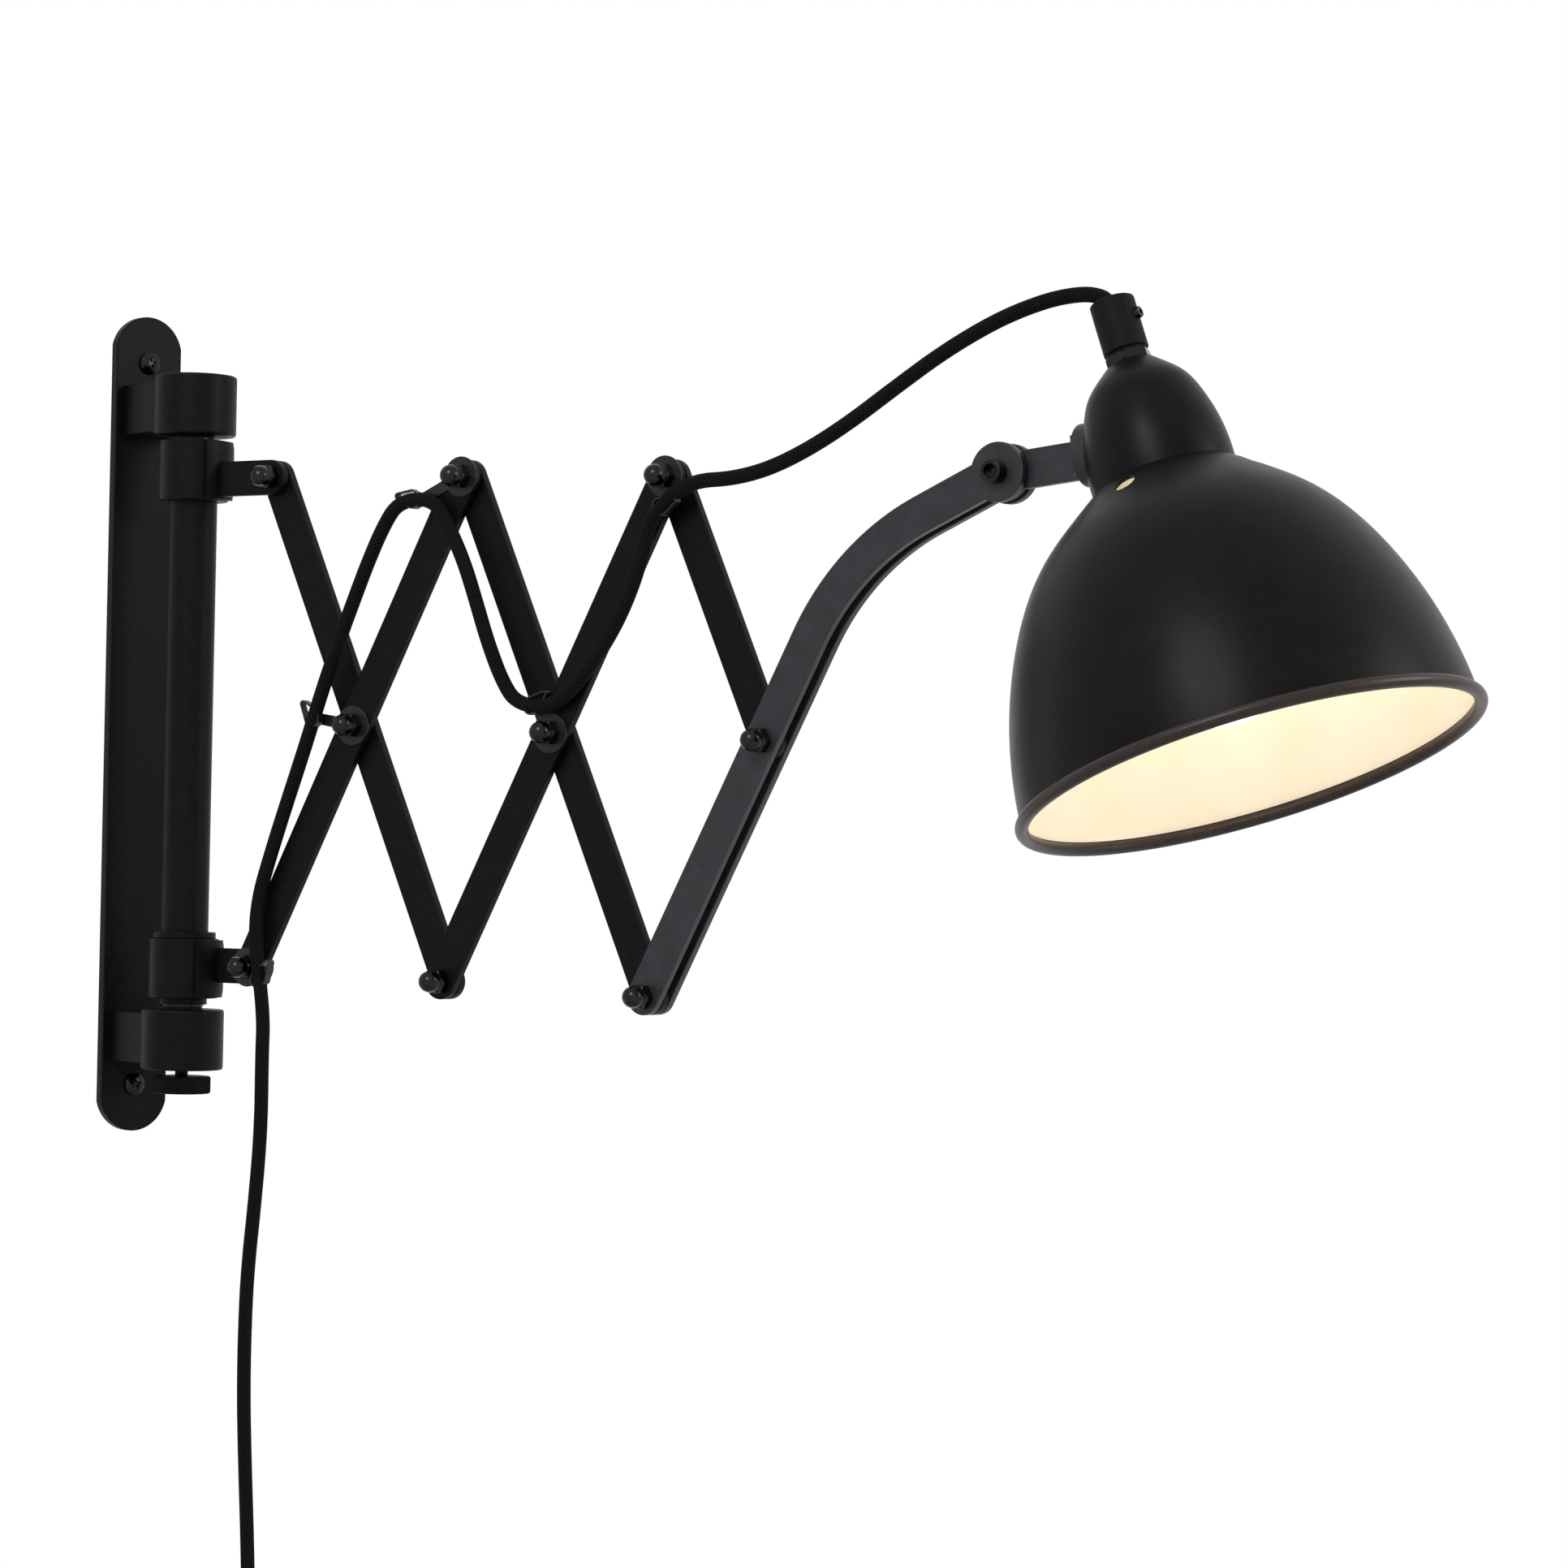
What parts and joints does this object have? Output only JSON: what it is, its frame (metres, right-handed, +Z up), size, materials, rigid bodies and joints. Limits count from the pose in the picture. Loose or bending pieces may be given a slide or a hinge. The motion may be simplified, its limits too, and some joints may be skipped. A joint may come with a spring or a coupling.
{
  "type": "accordion wall lamp",
  "caption": "Wall lamp on a scissor arm that swivels on a vertical rail, with a spun shade that tilts and rolls, and a clipped textile cord.",
  "frame": {"origin": "middle of the wall plate's back face, on the wall", "axes": "+X out of the wall, +Z up, +Y along the wall; at rest the arm is swivelled 18 degrees from +X towards +Y"},
  "size_m": [0.6694, 0.2793, 0.7186],
  "materials": {
    "powder_coat": "satin",
    "shade_enamel": "satin",
    "black_nickel": "gloss",
    "clip_steel": "satin",
    "textile_cord": "matte",
    "black_plastic": "matte",
    "bush_nylon": "matte",
    "zinc_steel": "satin",
    "nickel_brass": "gloss",
    "opal_glass": "gloss"
  },
  "bodies": {
    "wall_rail": {"wall_plate": "powder_coat", "upper_block": "powder_coat", "lower_block": "powder_coat", "block_screws": "black_nickel", "pivot_bushes": "bush_nylon"},
    "thumb_screw": {"thumb_screw": "powder_coat"},
    "turning_tube": {"slide_tube": "powder_coat", "upper_pivot_plug": "powder_coat", "lower_pivot_plug": "powder_coat", "upper_collar": "powder_coat", "collar_grub_screw": "black_nickel", "upper_tab": "powder_coat", "upper_tab_bolt": "black_nickel", "upper_tab_cap_nut": "black_nickel"},
    "bar_a1": {"bar_a1": "powder_coat", "bar_a1_bolt": "black_nickel", "bar_a1_cap_nut": "black_nickel"},
    "bar_b1": {"bar_b1": "powder_coat", "bar_b1_bolts": "black_nickel", "bar_b1_cap_nuts": "black_nickel", "bar_b1_cord_clips": "clip_steel", "cord_first": "textile_cord"},
    "lower_slide": {"lower_collar": "powder_coat", "slide_bush": "bush_nylon", "lower_tab": "powder_coat", "lower_tab_bolt": "black_nickel", "lower_tab_cap_nut": "black_nickel", "cord_clip_bottom": "clip_steel", "cord_drop": "textile_cord", "cord_coil": "textile_cord", "cord_tail": "textile_cord", "plug_body": "black_plastic", "plug_pins": "nickel_brass"},
    "bar_a2": {"bar_a2": "powder_coat", "cord_second": "textile_cord"},
    "bar_b2": {"bar_b2": "powder_coat", "bar_b2_bolts": "black_nickel", "bar_b2_cap_nuts": "black_nickel", "bar_b2_cord_clips": "clip_steel", "cord_third": "textile_cord"},
    "bar_a3": {"bar_a3": "powder_coat"},
    "curved_arm": {"arm_front_plate": "powder_coat", "arm_rear_plate": "powder_coat", "arm_bolts": "black_nickel", "arm_cap_nuts": "black_nickel", "head_bolt": "black_nickel", "head_nut": "black_nickel", "cord_arc": "textile_cord"},
    "head_bracket": {"head_tab": "powder_coat", "tab_screw": "black_nickel"},
    "shade": {"shade_shell": "shade_enamel", "rosette": "powder_coat", "tab_screw_nut": "black_nickel", "holder_nipple": "zinc_steel", "ring_nut": "black_nickel", "inner_nut": "black_nickel", "cord_grip": "black_plastic", "grip_screw": "black_nickel", "lampholder": "black_plastic", "bulb": "opal_glass"}
  },
  "joints": [
    {"name": "swivel", "type": "hinge", "parent": "wall_rail", "child": "turning_tube", "pos_m": [0.047, 0, 0], "axis": [0, 0, 1], "range_deg": [-88, 52]},
    {"name": "thumb_lock", "type": "hinge", "parent": "wall_rail", "child": "thumb_screw", "pos_m": [0.047, 0, 0], "axis": [0, 0, 1], "range_deg": [-180, 180]},
    {"name": "fold", "type": "hinge", "parent": "turning_tube", "child": "bar_a1", "pos_m": [0.09246, 0.01477, 0.11235], "axis": [0.309, -0.9511, 0], "range_deg": [-2.1, 25.2], "deforming": ["cord_first", "cord_second", "cord_third", "cord_arc"]},
    {"name": "fold_first_cross", "type": "hinge", "parent": "bar_a1", "child": "bar_b1", "pos_m": [0.14146, 0.03069, -0.00154], "axis": [0.309, -0.9511, 0], "range_deg": [-52.21, 4.63]},
    {"name": "fold_lower_slide", "type": "hinge", "parent": "bar_b1", "child": "lower_slide", "pos_m": [0.08627, 0.01276, -0.11225], "axis": [0.309, -0.9511, 0], "range_deg": [-2.53, 27.01]},
    {"name": "fold_first_top", "type": "hinge", "parent": "bar_b1", "child": "bar_a2", "pos_m": [0.19665, 0.04862, 0.10917], "axis": [0.309, -0.9511, 0], "range_deg": [-4.63, 52.21]},
    {"name": "fold_second_cross", "type": "hinge", "parent": "bar_a2", "child": "bar_b2", "pos_m": [0.24564, 0.06454, -0.00471], "axis": [0.309, -0.9511, 0], "range_deg": [-52.21, 4.63]},
    {"name": "fold_second_top", "type": "hinge", "parent": "bar_b2", "child": "bar_a3", "pos_m": [0.30083, 0.08248, 0.106], "axis": [0.309, -0.9511, 0], "range_deg": [-4.63, 52.21]},
    {"name": "fold_third_cross", "type": "hinge", "parent": "bar_a3", "child": "curved_arm", "pos_m": [0.34983, 0.09839, -0.00789], "axis": [0.309, -0.9511, 0], "range_deg": [-52.21, 4.63]},
    {"name": "head_tilt", "type": "hinge", "parent": "curved_arm", "child": "head_bracket", "pos_m": [0.45757, 0.1334, 0.10282], "axis": [0.309, -0.9511, 0], "range_deg": [-20, 60], "deforming": ["cord_arc"]},
    {"name": "shade_roll", "type": "hinge", "parent": "head_bracket", "child": "shade", "pos_m": [0.50343, 0.14173, 0.10811], "axis": [0.9449, 0.307, 0.1139], "range_deg": [-40, 40]}
  ],
  "couplings": [
    {"joint": "fold_first_cross", "follows": "fold", "ratio": -2.06},
    {"joint": "fold_lower_slide", "follows": "fold", "ratio": 1.06},
    {"joint": "fold_first_top", "follows": "fold", "ratio": 2.06},
    {"joint": "fold_second_cross", "follows": "fold", "ratio": -2.06},
    {"joint": "fold_second_top", "follows": "fold", "ratio": 2.06},
    {"joint": "fold_third_cross", "follows": "fold", "ratio": -2.06}
  ]
}
